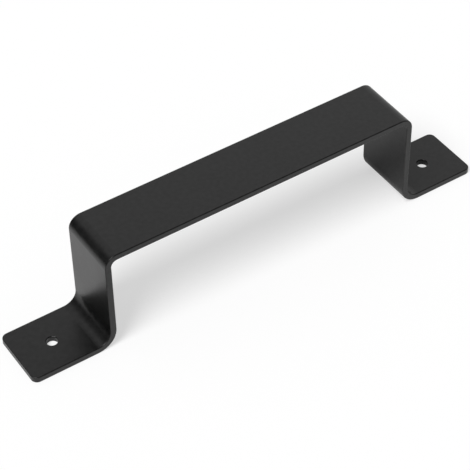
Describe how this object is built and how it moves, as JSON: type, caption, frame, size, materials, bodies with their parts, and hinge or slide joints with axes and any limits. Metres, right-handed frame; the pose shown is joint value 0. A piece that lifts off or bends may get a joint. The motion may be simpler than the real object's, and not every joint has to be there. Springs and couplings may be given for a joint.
{
  "type": "barn door pull handle",
  "caption": "Pull handle bent from flat steel bar: a straight grip on square legs, with flat feet drilled for screws, in satin black powder coat.",
  "frame": {"origin": "on the door face, under the middle of the grip, half way between the screw holes", "axes": "+X along the handle from one foot to the other, +Y across the width of the bar, +Z out from the door towards the hand"},
  "size_m": [0.232, 0.03, 0.052],
  "materials": {
    "black_powder_coat": "satin black powder coat with a fine grain, on mild steel"
  },
  "bodies": {
    "root": {"pull_handle": "black_powder_coat"}
  },
  "joints": []
}
